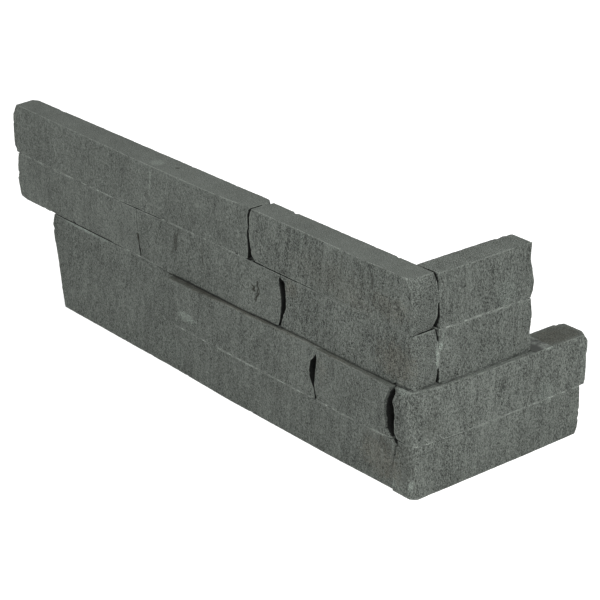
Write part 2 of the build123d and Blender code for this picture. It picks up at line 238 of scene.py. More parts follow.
# Glue beds: height of the foot, then along the run how far the glue stands back and how pale it is
BEDS = {
    "top_glue_bed": (114.15, [
        (-436, 0.2, 0.9), (-304, 0.2, 0.9), (-294, 0.9, 0.4), (-258, 0.9, 0.4), (-246, 0.2, 0.9),
        (-154, 0.2, 0.9), (-149, 3.0, 0), (-134, 2.0, 0), (-108, 1.2, 0), (-86, 1.2, 0),
        (-76, 0.3, 0.4), (16, 0.3, 0.3), (22, 0.8, 0), (30, 1.6, 0), (38, 3.0, 0), (40.6, 3.0, 0),
        (41.6, 0.2, 0.9), (118, 0.2, 0.9),
    ]),
    "middle_glue_bed": (75.9, [
        (-387, 0.9, 0.1), (-372, 1.2, 0), (-330, 1.2, 0), (-307, 0.8, 0), (-300, 0.2, 0.9),
        (-249, 0.2, 0.9), (-246, 1.0, 0), (-238, 0.5, 0), (-116, 0.5, 0), (-108, 0.5, 0.12),
        (0, 0.5, 0.12), (8, 0.3, 0.3), (24, 0.1, 0.4), (120, 0.2, 0.4), (125, 0.4, 0),
        (129.5, 0.4, 0.05), (131.5, 0.4, 0.4), (136, 0.5, 0.45), (138.5, 2.0, 0.6),
    ]),
    "bottom_glue_bed": (37.65, [
        (-236, 0.05, 1.0), (-140, 0.05, 1.0), (-130, 0.15, 0.9), (0.5, 0.15, 0.9), (2, 4.0, 0),
        (9.5, 4.0, 0), (11, 0.0, 1.2), (16, -0.12, 1.5), (60, -0.12, 1.5), (80, 0.15, 0.9),
        (168, 0.15, 0.9),
    ]),
}

# Butt joints at the corner: back of the corner stone, then the same along the height
BUTTS = {
    "top_corner_glue": (-1.8, [
        (114.75, 4.5, 0), (130.5, 4.5, 0), (132.5, 0.5, 0.1), (140.5, 0.5, 0.1), (142.5, 3.0, 0),
        (149.5, 4.5, 0), (151.0, 9.0, 0), (152.4, 13.0, 0),
    ]),
    "second_corner_glue": (-1.0, [
        (76.5, 4.5, 0), (86.0, 4.5, 0), (87.5, 0.1, 0.9), (106.0, 0.1, 0.9), (108.5, 3.0, 0),
        (114.15, 4.5, 0),
    ]),
}

# Stone broken from the ends: axis, side, then the amount along the height, outwards below zero
BITES = {
    "top_left_stone": [
        (0, 1, [
            (152.4, 0.4), (150.2, 2.1), (146.6, 2.4), (142.7, 2.4), (139.8, 2.2), (138.5, 1.3),
            (137.1, 1.3), (135.8, 2.4), (132.3, 3.1), (128.6, 2.9), (123.9, 2.6), (119.6, 2.4),
            (115.3, 3.1),
        ]),
    ],
    "top_corner_stone": [
        (0, -1, [
            (152.4, -0.9), (148.4, -1.7), (144.8, -1.7), (139.8, -1.5), (134, -2.2), (130.4, -2.2),
            (126.8, -1.6), (123.2, -1.3), (119.6, -0.9), (116, -0.5),
        ]),
        (1, 1, [(147, 0), (150, 0.3), (152.4, 0.5)]),
    ],
    "top_return_stone": [
        (1, -1, [(147, 0), (150, 0.3), (152.4, 0.4)]),
    ],
    "second_left_stone": [
        (0, -1, [(76.5, -2.0), (79.5, -1.6), (84, 0)]),
    ],
    "second_middle_stone": [
        (0, 1, [
            (112.2, 0), (111.5, 0.9), (110.4, 1.2), (105.7, 1.2), (101.2, 0.85), (93.8, 0.65),
            (90, 0.95), (86.4, 0.5), (81.5, 0.4), (77.6, 1.0),
        ]),
    ],
    "second_corner_stone": [
        (0, -1, [
            (112.2, 0), (111.5, 0.9), (110, 1.2), (107.5, 0.4), (93.8, 0.1), (90, 0.5), (86.4, 0.6),
            (80, 0.6), (77, 0.4),
        ]),
    ],
    "third_left_stone": [
        (0, 1, [
            (73, 0), (72, 0.4), (68.5, 0.7), (66, 1.1), (63.6, 2.3), (58.8, 2.7), (54, 2.9),
            (50.9, 3.0), (47.8, 2.0), (44.6, 0.7), (42, 0.6), (38, 0.5),
        ]),
    ],
    "third_right_stone": [
        (0, -1, [
            (73, 0), (72, 0.5), (68.5, 0.6), (63.6, 0.2), (58.8, 0), (50.9, 0), (47.8, 0.3),
            (44.6, 0.5), (42, 0.5), (38, 0.4),
        ]),
        (0, 1, [
            (75.9, -3.6), (71.5, -2.2), (65, 0.4), (59.6, 1.0), (52, 1.3), (47.7, 1.6), (43.5, 1.7),
            (41, 0.6), (38, -1.0),
        ]),
    ],
    "third_return_stone": [
        (0, -1, [
            (75.9, 2.4), (72, 3.0), (70.4, 2.6), (68, 1.5), (65, 0.3), (56, -0.4), (50, -0.8),
            (45, -0.3), (42, 0), (40, 0.6), (38, 1.6),
        ]),
    ],
    "jumper_stone": [
        (0, -1, [(8, 0), (30, -0.6), (75, -0.6)]),
    ],
    "bottom_return_stone": [
        (0, -1, [(33, 0), (37.6, 3.4)]),
    ],
}

# Seams that are pushed shut: the axis across, then the two ends along x, y and z in millimetres
SHUT = [
    (0, ((-165, -130), (-11, 1), (146, 153))),
    (0, ((-12, 16), (-32, -8), (6, 35))),
    (1, ((8, 27), (-4, 1), (132, 141))),
]
SHUT_LIMIT = 3

# Where less painted shade goes into the joints: the two ends along x, y and z, then the share missing
LESS_JOINT_SHADE = [
    (((12, 40), (-19, -1), (72, 77.2)), 1.0),
    (((12, 40), (-1, 86), (72, 77.2)), 0.3),
    (((-112, 8), (-40, -19), (72, 77.2)), 0.45),
]

# Arrises worn further than the rest: the two ends along x, y and z, then the depth
BRUISED = {
    "second_left_stone": [((-402, -316), (-40, -15), (75, 78.5), 0.4)],
    "jumper_stone": [((-247, -234), (-40, -15), (73, 78), 1.3)],
    "top_corner_stone": [
        ((-151, -132), (-40, -15), (113, 117), 0.5),
        ((-133, -108), (-40, -15), (113, 117), 0.25),
        ((12, 40), (-17, -2), (113, 117), 0.45),
    ],
}

# Blots on the stone: middle and reach along x, y and z in millimetres, then strength
PALE_BLOTS = [
    ((21, -1.3, 96), (2.5, 1.9, 11), 0.85),
    ((21, 0.8, 103), (2.5, 4.2, 4), 0.7),
    ((21, 2.6, 109), (2.5, 1.1, 6), 0.4),
    ((22, -7, 113.4), (3, 6, 1.3), 0.55),
    ((-350, -22, 75.1), (46, 7, 1.3), 0.75),
    ((-218, -26, 50), (13, 8, 5), 0.5),
    ((17, -21, 9.5), (3.2, 4, 7), 0.55),
    ((10, -22, 74.5), (9, 4, 3), 0.35),
    ((24.5, 94, 75.9), (3, 4, 2), 0.6),
    ((21, 57, 124), (5, 12, 14), 0.2),
    ((21, 93, 45), (5, 10, 13), 0.24),
    ((-240, -21, 16), (18, 8, 14), 0.15),
    ((-261, -14, 152.4), (8, 6, 2), 0.25),
]
BROWN_BLOTS = [
    ((3, -21, 92), (24, 8, 17), 0.8),
    ((-4, -21, 127), (24, 8, 12), 0.6),
    ((-12, -21, 18), (23, 8, 21), 0.85),
    ((-119, -25, 76), (130, 8, 1.5), 0.8),
    ((13, 111, 76), (14, 24, 2), 0.7),
    ((-39, -21, 120), (30, 8, 9), 0.4),
    ((-60, -21, 128), (60, 8, 16), 0.28),
    ((-104, -21, 108), (9, 8, 9), 0.6),
    ((-68, -27, 62), (9, 8, 14), 0.5),
]
DARK_BLOTS = [
    ((-233, -21, 102), (3.4, 4, 10), 0.5),
    ((-241, -22, 75.2), (5, 7, 1.4), 0.8),
    ((2.6, -21, 108.4), (1.4, 3, 1.4), 0.75),
    ((9.6, -21, 104.4), (1.2, 3, 1.6), 0.75),
    ((9, -21, 96.4), (1.3, 3, 1.8), 0.75),
    ((-1, -21, 81.3), (1.3, 3, 1.2), 0.7),
    ((-242, -10, 152.4), (2.4, 2.4, 1.4), 0.6),
    ((21, -5, 49), (7, 9, 12), 0.22),
    ((12, -21, 25), (13, 9, 22), 0.24),
    ((-6, -21, 32), (9, 8, 9), 0.2),
    ((-51, -21, 130), (15, 8, 13), 0.16),
    ((11, -21, 96), (9, 8, 15), 0.15),
    ((21, 70, 90), (5, 9, 11), 0.13),
]

# Painted shade and dirt on ledges: the two ends along x and along y in millimetres, then strength
LEDGE_SHADE_AND_DIRT = [
    ((-236, -112), (-40, -19), 0.66),
    ((-112, 4), (-40, -19), 0.34),
    ((18, 40), (-16, 82), 0.08),
    ((-1, 40), (82, 88), 0.22),
    ((-1, 40), (97, 131), 0.4),
]

# Strokes on the long leg: points along x and z, half width, height, tone from dark to pale
STROKES = [
    ([(-228.7, 112.5), (-232, 104), (-238.5, 91.4)], 0.9, -0.15, -0.4),
    ([(-202.9, 106), (-201.2, 94.5)], 0.9, -0.15, -0.35),
    ([
        (-139.3, 101.1), (-139.8, 98), (-138.4, 96.5), (-139.6, 94.1), (-138.2, 92.6), (-141, 89.3),
        (-141.4, 86.7),
    ], 0.7, -0.6, -0.9),
    ([(-145.1, 96.8), (-142.8, 96), (-145, 93.9), (-142.6, 93.7)], 0.7, -0.6, -0.9),
    ([(-258.9, 151.2), (-262.6, 134.4)], 0.8, 0.25, 0.3),
    ([(-89.1, 152.7), (-92.5, 136.7)], 0.8, 0.3, 0.35),
    ([(-19.2, 143.9), (-19.8, 134.7)], 0.9, -0.3, -0.5),
    ([(-48.5, 148.4), (-50.5, 134)], 0.8, -0.3, -0.45),
    ([(-279.4, 95), (-279, 78)], 0.6, -0.45, -0.9),
]

random = np.random.default_rng(SEED)
TABLE = random.permutation(TABLE_SIZE)
DIRECTIONS = random.normal(size=(TABLE_SIZE, 3))
DIRECTIONS /= np.linalg.norm(DIRECTIONS, axis=1, keepdims=True)


def noise(points, size, shift):
    """Smooth noise from about -1 to 1; size is the grain in millimetres along x, y and z."""
    scaled = points / (np.array(size) * MM) + shift
    cell = np.floor(scaled).astype(int)
    inside = scaled - cell
    fade = inside**3 * (inside * (inside * 6 - 15) + 10)
    total = np.zeros(len(points))
    for corner in itertools.product((0, 1), repeat=3):
        index = 0
        for place in (cell + corner).T:
            index = TABLE[(index + place) % TABLE_SIZE]
        weight = np.prod(np.where(corner, fade, 1 - fade), axis=1)
        total += weight * np.einsum("ij,ij->i", DIRECTIONS[index], inside - corner)
    return total * NOISE_GAIN


def ramp(values, low, high):
    """0 below low, 1 above high and smooth between."""
    share = np.clip((values - low) / (high - low), 0, 1)
    return share * share * (3 - 2 * share)


def blend(first, second, share):
    """From first where the share is 0 to second where it is 1."""
    return first + (second - first) * share


def fading(distance, reach):
    """1 at no distance, falling evenly to 0 at the reach."""
    return np.clip(1 - distance / reach, 0, 1)


def welded(node):
    """The CAD node's mesh with its split corners joined."""
    shape = bmesh.new()
    shape.from_mesh(frame["nodes"][node].data)
    bmesh.ops.remove_doubles(shape, verts=shape.verts, dist=WELD * MM)
    return shape


def arris_tree(shape):
    """Points along every sharp edge, for measuring how near an arris is."""
    points = []
    for edge in shape.edges:
        if len(edge.link_faces) == 2 and edge.calc_face_angle() > SHARP_ANGLE:
            start, stop = (v.co for v in edge.verts)
            count = max(2, int((stop - start).length / (ARRIS_STEP * MM)))
            points += [start.lerp(stop, i / count) for i in range(count + 1)]
    tree = KDTree(len(points))
    for i, point in enumerate(points):
        tree.insert(point, i)
    tree.balance()
    return tree


def stone_tree():
    """The surfaces of all the stones, for finding what lies in front of a point."""
    corners = []
    faces = []
    for name, node in frame["nodes"].items():
        if name.endswith("_stone"):
            first = len(corners)
            corners += [v.co.copy() for v in node.data.vertices]
            faces += [[first + i for i in face.vertices] for face in node.data.polygons]
    return BVHTree.FromPolygons(corners, faces)


STONES = stone_tree()


def remeshed(shape, name):
    """Even fine mesh of the same form that keeps its arrises."""
    coarse = bpy.data.meshes.new(name + "_coarse")
    shape.to_mesh(coarse)
    piece = bpy.data.objects.new(name, coarse)
    bpy.context.collection.objects.link(piece)
    cells = max(piece.dimensions) / (CELL * MM)
    depth = math.ceil(math.log2(cells))
    remesh = piece.modifiers.new("remesh", "REMESH")
    remesh.mode = "SHARP"
    remesh.octree_depth = depth
    remesh.scale = min(GRID_SHARE, cells / 2**depth)
    remesh.use_remove_disconnected = False
    graph = bpy.context.evaluated_depsgraph_get()
    fine = bpy.data.meshes.new_from_object(piece.evaluated_get(graph))
    piece.modifiers.clear()
    piece.data = fine
    return piece


def read(mesh, key):
    """A per-vertex vector as rows."""
    values = np.empty(len(mesh.vertices) * 3)
    mesh.vertices.foreach_get(key, values)
    return values.reshape(-1, 3)


def store(mesh, name, values):
    """A per-vertex number that the material reads."""
    layer = mesh.attributes.new(name, "FLOAT", "POINT")
    layer.data.foreach_set("value", values.astype(np.float32))


def clearance(points, normals):
    """Distance in millimetres to the stone that stands close in front, else infinite."""
    reach = JOINT_REACH * MM
    lift = TOUCH * MM
    found = []
    for point, normal in zip(points, normals):
        way = Vector(normal)
        distance = STONES.ray_cast(Vector(point) + way * lift, way, reach)[3]
        found.append(math.inf if distance is None else distance / MM + TOUCH)
    return np.array(found)


def box_share(points, box):
    """1 inside the box and 0 outside, with ends that fade over a narrow band."""
    share = np.ones(len(points))
    for axis, (low, high) in enumerate(box):
        place = points[:, axis] / MM
        share *= ramp(place, low, low + BOX_FADE) * ramp(-place, -high, BOX_FADE - high)
    return share


def in_box(points, box):
    """Which of the points lie in the box."""
    return box_share(points, box) > 0.5


def squeezed(points, normals):
    """The points in shut seams, and normals that look straight across those seams."""
    ways = normals.copy()
    shut = np.zeros(len(points), bool)
    for axis, box in SHUT:
        inside = in_box(points, box)
        side = normals[:, axis]
        turned = inside & (np.abs(side) > ACROSS) & (np.abs(normals[:, 2]) < UPRIGHT)
        ways[turned] = 0
        ways[turned, axis] = np.sign(side[turned])
        shut |= inside
    return shut, ways


def split_share(normals, on_return):
    """1 on split faces and broken ends, 0 on sawn beds and backs."""
    back = -normals[:, 0] if on_return else normals[:, 1]
    sawn = np.maximum(np.abs(normals[:, 2]), back)
    return 1 - ramp(sawn, UPRIGHT, SAWN_FROM)


def waves(points, kind, shift):
    """Noise of a named height and grain."""
    height, grain = kind
    return height * noise(points, grain, shift)


def relief(points, streaky, shift):
    """Height of the split surface in millimetres: streaks that run up the face, and pits."""
    streaks = noise(points, STREAK_GRAIN, shift)
    lumps = noise(points, LUMP_GRAIN, shift)
    middle = MIDDLE_HEIGHT * (streaky * streaks + (1 - streaky) * lumps)
    depth, grain = PITS
    pits = depth * ramp(noise(points, grain, shift + PIT_SHIFT), *PIT_LIMITS)
    return waves(points, BROAD, shift) + middle + waves(points, FINE, shift) - pits


def bruise(points, reach, shift):
    """Material lost at an arris in millimetres, with a few larger chips."""
    small = (WORN[0] + waves(points, WORN, shift)) * fading(reach, WORN_REACH)
    depth, grain = CHIPS
    chips = ramp(noise(points, grain, shift + CHIP_SHIFT), *CHIP_LIMITS)
    large = depth * chips * fading(reach, CHIP_REACH) ** CHIP_STEEPNESS
    return (small + large) * blend(FOOT_WEAR, 1, ramp(points[:, 2] / MM, *FOOT_HEIGHTS))


def worn_further(points, reach, marks):
    """Extra material lost at the arrises inside the marked boxes."""
    total = np.zeros(len(points))
    for *box, depth in marks:
        total += depth * box_share(points, box) * fading(reach, BRUISE_REACH)
    return total


def bitten(points, marks):
    """How far each point moves when stone is broken away from the ends."""
    moved = np.zeros_like(points)
    place = points / MM
    for axis, side, line in marks:
        heights, amounts = np.array(sorted(line)).T
        level = np.round(place[:, 2]).astype(int)
        ends = np.full(level.max() + 2, -np.inf)
        np.maximum.at(ends, level, side * place[:, axis])
        away = ends[level] - side * place[:, axis]
        amount = np.interp(place[:, 2], heights, amounts)
        near_face = ramp(place[:, 0], *BITE_FADE_X) if axis else 1 - ramp(place[:, 1], *BITE_FADE_Y)
        moved[:, axis] -= side * near_face * amount * fading(away, BITE_REACH) * MM
    return moved


def blots(points, marks, shift):
    """Strength of a list of ragged blots at each point."""
    ragged = sum(waves(points, kind, shift) for kind in BLOT_RAGS)
    total = np.zeros(len(points))
    for middle, reach, strength in marks:
        away = np.linalg.norm((points / MM - middle) / reach, axis=1)
        share = ramp(1 - away + ragged * (away < BLOT_MARGIN), 0, BLOT_FADE)
        total = np.maximum(total, strength * share)
    return total


def ledge_shade_and_dirt(points, normals, reach):
    """Strength of the painted shade and dirt on the ledges at the head of the third course, weaker at the
    arrises.
    """
    on_ledge = (normals[:, 2] > UPRIGHT) & (np.abs(points[:, 2] / MM - LEDGE) < LEVEL_BAND)
    on_ledge = on_ledge * blend(LEDGE_EDGE_SHADE_AND_DIRT, 1, ramp(reach, *LEDGE_EDGE))
    ragged = sum((waves(points, kind, shift) for *kind, shift in LEDGE_RAGS), start=1)
    total = np.zeros(len(points))
    for (left, right), (near, far), strength in LEDGE_SHADE_AND_DIRT:
        x, y = points[:, 0] / MM, points[:, 1] / MM
        inside = (x > left) & (x < right) & (y > near) & (y < far)
        total = np.maximum(total, strength * inside)
    return np.clip(total * on_ledge * ragged, 0, 1)


def back_arris(points, normals, on_return):
    """1 at the darkened back edge of a sawn head, 0 past its reach."""
    back = points[:, 0] - points[:, 0].min() if on_return else points[:, 1].max() - points[:, 1]
    return (normals[:, 2] > LEVEL) * fading(back / MM, BACK_REACH)


def stroke_share(points, line, width):
    """1 on a line drawn on the long leg's face, fading to 0 at its edges."""
    place = points[:, [0, 2]] / MM
    away = np.full(len(points), np.inf)
    for start, stop in zip(np.array(line[:-1]), np.array(line[1:])):
        along = stop - start
        share = np.clip((place - start) @ along / (along @ along), 0, 1)
        away = np.minimum(away, np.linalg.norm(place - start - share[:, None] * along, axis=1))
    near_face = points[:, 1] < (FACE_Y + STROKE_DEPTH) * MM
    return near_face * np.clip(STROKE_SOFT - away / width, 0, 1)


class Surface:
    """What is known about each point of one stone's mesh before it is moved."""

    def __init__(self, node, index, mesh, arrises):
        self.node = node
        self.shift = STONE_SHIFT * index
        self.on_return = "return" in node
        self.points = read(mesh, "co")
        self.normals = read(mesh, "normal")
        self.reach = np.array([arrises.find(p)[2] for p in self.points]) / MM
        self.split = split_share(self.normals, self.on_return)
        self.shut, self.ways = squeezed(self.points, self.normals)
        self.moved = bitten(self.points, BITES.get(node, []))
        towards = np.einsum("ij,ij->i", self.moved, self.ways) / MM
        self.gap = clearance(self.points, self.ways) - towards
        in_seam = (self.gap < CLOSED_SEAM) | (self.shut & (self.gap < SHUT_LIMIT))
        self.closed = (np.abs(self.normals[:, 2]) < UPRIGHT) & in_seam
        if self.on_return:
            self.streaky = np.ones(len(self.points))
        else:
            self.streaky = blend(END_STREAKS, 0, ramp(self.normals[:, 0], *END_NORMAL))


def free_height(stone):
    """Height of the rough surface in millimetres where no neighbour is near, and its strokes' tone."""
    points, reach, shift, split = stone.points, stone.reach, stone.shift, stone.split
    calm_edge = blend(EDGE_RELIEF, 1, ramp(reach, 0, EDGE_CALM))
    split_height = calm_edge * relief(points, stone.streaky, shift)
    height = split * split_height + (1 - split) * waves(points, SAWN, shift)
    height -= bruise(points, reach, shift) * ~stone.shut
    height -= worn_further(points, reach, BRUISED.get(stone.node, []))
    tone = np.zeros(len(points))
    strokes = [] if stone.on_return else STROKES
    for line, width, lift, shade in strokes:
        share = split * stroke_share(points, line, width)
        height += lift * share
        tone += shade * share
    return height, tone


def rough_points(stone, height):
    """The points moved to the rough surface: half way across closed seams, and never below rest."""
    limit = stone.gap / 2 - TOUCH
    height = np.where(stone.closed, limit, np.minimum(height, limit))
    resting = (stone.normals[:, 2] < -UPRIGHT) & (stone.points[:, 2] < LEVEL_BAND * MM)
    height[resting] = np.minimum(height[resting], 0)
    ways = np.where(stone.closed[:, None], stone.ways, stone.normals)
    return stone.points + stone.moved + ways * height[:, None] * MM


def colour_layers(stone, tone):
    """Everything that the stone's material reads, by name."""
    points, split, streaky = stone.points, stone.split, stone.streaky
    grain, sawn_grain, fibres, shade = LOOKS[stone.node]
    # Share of the painted shade in seams that is taken off in the listed boxes
    joint_shade_taken = sum(share * in_box(points, box) for box, share in LESS_JOINT_SHADE)
    # Dark blots, dark strokes, painted shade and dirt on ledges, and darker back edges
    darkening_layers = (
        blots(points, DARK_BLOTS, stone.shift),
        np.maximum(-tone, 0),
        ledge_shade_and_dirt(points, stone.normals, stone.reach),
        BACK_DARKENING * back_arris(points, stone.normals, stone.on_return),
    )
    return {
        "split": split,
        "grain": blend(sawn_grain, grain, split),
        "fibres": fibres * streaky,
        "streaky": streaky,
        "shade": shade * (blend(SAWN_SHADE, 1, split) * blend(END_SHADE, 1, streaky)),
        # Painted highlight along the arrises, none in shut seams
        "arris": fading(stone.reach, ARRIS_REACH) * ~stone.shut,
        # Painted shade: near black where another stone stands close in front, except in closed seams
        "joint": (np.isfinite(stone.gap) & ~stone.closed) * (1 - joint_shade_taken),
        "pale": np.maximum(blots(points, PALE_BLOTS, stone.shift), np.maximum(tone, 0)),
        "dark": np.max(darkening_layers, axis=0),
        "brown": blots(points, BROWN_BLOTS, stone.shift),
    }


def rough_stone(node, index):
    """Fine mesh of one stone with its split faces, sawn beds and bruised arrises."""
    shape = welded(node)
    piece = remeshed(shape, node + "_rough")
    mesh = piece.data
    stone = Surface(node, index, mesh, arris_tree(shape))
    shape.free()
    height, tone = free_height(stone)
    mesh.vertices.foreach_set("co", rough_points(stone, height).ravel())
    for name, values in colour_layers(stone, tone).items():
        store(mesh, name, values)
    mesh.shade_smooth()
    mesh.set_sharp_from_angle(angle=SHARP_ANGLE)
    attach(piece, "root")
    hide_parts(node)
    return piece


def along(place, line):
    """The glue's step back and paleness at a place on its line."""
    places, steps, tones = np.array(line).T
    return np.interp(place, places, steps), np.interp(place, places, tones)


def face_depth(start, inward, heights):
    """Distance in millimetres to the stone that lies deepest at the given heights, if any does."""
    found = []
    for height in heights:
        distance = STONES.ray_cast(Vector((*start, height)) * MM, Vector((*inward, 0)))[3]
        if distance is not None and distance / MM < FAR:
            found.append(distance / MM)
    return max(found, default=None)


def bed_path(left, right):
    """Places along the run, which is x on the long leg and carries on round the corner.

    Each has a start point outside the panel, the way inward and the back of the glue.
    """
    rows = []
    for x in np.arange(left, FACE_X - CORNER_ROUND, GLUE_STEP):
        rows.append((x, (x, FACE_Y - FAR / 2), (0, 1), (min(x, GLUE_BACK), -GLUE_BACK)))
    middle = np.array([FACE_X - CORNER_ROUND, FACE_Y + CORNER_ROUND])
    out = CORNER_ROUND + FAR / 2
    for share in np.linspace(-1, 1, CORNER_STEPS):
        turn = math.pi / 4 * (share - 1)
        way = np.array([math.cos(turn), math.sin(turn)])
        run = FACE_X + CORNER_ROUND * share
        rows.append((run, tuple(middle + way * out), tuple(-way), (GLUE_BACK, -GLUE_BACK)))
    for run in np.arange(FACE_X + CORNER_ROUND + GLUE_STEP, right, GLUE_STEP):
        y = run - FACE_X + FACE_Y
        rows.append((run, (FACE_X + FAR / 2, y), (-1, 0), (GLUE_BACK, max(y, -GLUE_BACK))))
    return rows


def glue_mesh(name, sections, tones):
    """Closed mesh through four-cornered sections, each with its paleness."""
    corners = [tuple(c * MM for c in corner) for section in sections for corner in section]
    faces = [(0, 1, 2, 3)]
    for i in range(len(sections) - 1):
        here, ahead = 4 * i, 4 * i + 4
        for j in range(4):
            k = (j + 1) % 4
            faces.append((here + j, ahead + j, ahead + k, here + k))
    last = 4 * (len(sections) - 1)
    faces.append((last + 3, last + 2, last + 1, last))
    mesh = bpy.data.meshes.new(name)
    mesh.from_pydata(corners, [], faces)
    store(mesh, "pale", np.repeat(np.array(tones, float), 4))
    shape = bmesh.new()
    shape.from_mesh(mesh)
    bmesh.ops.remove_doubles(shape, verts=shape.verts, dist=GLUE_WELD * MM)
    bmesh.ops.recalc_face_normals(shape, faces=shape.faces)
    shape.to_mesh(mesh)
    shape.free()
    piece = bpy.data.objects.new(name, mesh)
    bpy.context.collection.objects.link(piece)
    return piece


def glue_bed(node):
    """Bed of glue whose front edge follows the stones and steps back where the joint is open."""
    foot, line = BEDS[node]
    head = foot + BED
    sections = []
    tones = []
    depth = FAR / 2
    for run, start, inward, back in bed_path(line[0][0], line[-1][0]):
        found = face_depth(start, inward, (foot - INTO_STONE, head + INTO_STONE))
        depth = min(found, FAR / 2 + DEEPEST) if found else depth
        step_back, tone = along(run, line)
        front = np.array(start) + np.array(inward) * (depth + step_back)
        sections.append([(*front, foot), (*front, head), (*back, head), (*back, foot)])
        tones.append(tone)
    return glue_mesh(node + "_shaped", sections, tones)


def butt_glue(node):
    """Glue between the back of a corner stone and the end of the return stone behind it."""
    back_plane, line = BUTTS[node]
    foot, head = line[0][0], line[-1][0]
    sections = []
    tones = []
    for z in np.append(np.arange(foot, head, GLUE_STEP), head):
        level = min(max(z, foot + INTO_BUTT), head - INTO_BUTT)
        start = back_plane + PAST_JOINT
        gap = STONES.ray_cast(Vector((FACE_X / 2, start, level)) * MM, Vector((0, 1, 0)))[3]
        far_side = start + (gap / MM if gap else BED)
        beside = (back_plane - ON_CORNER_STONE, far_side + ON_RETURN_STONE)
        depths = [face_depth((FACE_X + FAR / 2, y), (-1, 0), (level,)) for y in beside]
        depth = min(max(d for d in depths if d), FAR / 2 + DEEPEST)
        step_back, tone = along(z, line)
        front = FACE_X + FAR / 2 - depth - step_back
        corners = ((front, back_plane), (front, far_side), (GLUE_BACK, far_side), (GLUE_BACK, back_plane))
        sections.append([(x, y, z) for x, y in corners])
        tones.append(tone)
    return glue_mesh(node + "_shaped", sections, tones)


def shaped_glue(node):
    """One glue piece as it shows between the stones."""
    piece = glue_bed(node) if node in BEDS else butt_glue(node)
    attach(piece, "root")
    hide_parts(node)
    return piece


class Nodes:
    """Short hand for building a material's nodes."""

    def __init__(self, material):
        material.use_nodes = True
        self.tree = material.node_tree
        self.shader = self.tree.nodes["Principled BSDF"]

    def add(self, kind, **values):
        node = self.tree.nodes.new(kind)
        for key, value in values.items():
            setattr(node, key, value)
        return node

    def link(self, source, target):
        self.tree.links.new(source, target)

    def put(self, socket, value):
        if hasattr(value, "links"):
            self.link(value, socket)
        else:
            socket.default_value = value

    def attribute(self, name):
        return self.add("ShaderNodeAttribute", attribute_name=name).outputs["Fac"]

    def math(self, operation, first, second):
        node = self.add("ShaderNodeMath", operation=operation)
        self.put(node.inputs[0], first)
        self.put(node.inputs[1], second)
        return node.outputs[0]

    def span(self, value, low, high, to_low=0.0, to_high=1.0):
        node = self.add("ShaderNodeMapRange")
        for socket, number in zip(node.inputs, (value, low, high, to_low, to_high)):
            self.put(socket, number)
        return node.outputs[0]

    def mix(self, share, first, second, data_type="RGBA", blend_type="MIX"):
        node = self.add("ShaderNodeMix", data_type=data_type, blend_type=blend_type)
        for key, value in zip(("Factor", "A", "B"), (share, first, second)):
            self.put(node.inputs[key], value)
        return node.outputs["Result"]

    def weighted(self, *parts):
        """Sum of values, each times its weight."""
        total = 0.0
        for value, weight in parts:
            total = self.math("ADD", self.math("MULTIPLY", value, weight), total)
        return total

    def tinted(self, colour, tint):
        """A colour multiplied by another."""
        return self.mix(1.0, colour, tint, blend_type="MULTIPLY")

    def pattern(self, name, to_low=-1.0, to_high=1.0, lean=0.0):
        """A named pattern of noise, leaning by an angle, from one number to another."""
        size, detail, low, high = PATTERNS[name]
        place = self.add("ShaderNodeTexCoord").outputs["Object"]
        scaled = self.add("ShaderNodeMapping", vector_type="TEXTURE")
        self.link(place, scaled.inputs["Vector"])
        scaled.inputs["Rotation"].default_value = (0, lean, 0)
        scaled.inputs["Scale"].default_value = [s * MM for s in size]
        texture = self.add("ShaderNodeTexNoise")
        self.link(scaled.outputs[0], texture.inputs["Vector"])
        texture.inputs["Scale"].default_value = 1
        texture.inputs["Detail"].default_value = detail
        return self.span(texture.outputs["Fac"], low, high, to_low, to_high)


def grey(level):
    """Grey-green of a given lightness."""
    return (level * RED_SHARE, level, level * BLUE_SHARE, 1)


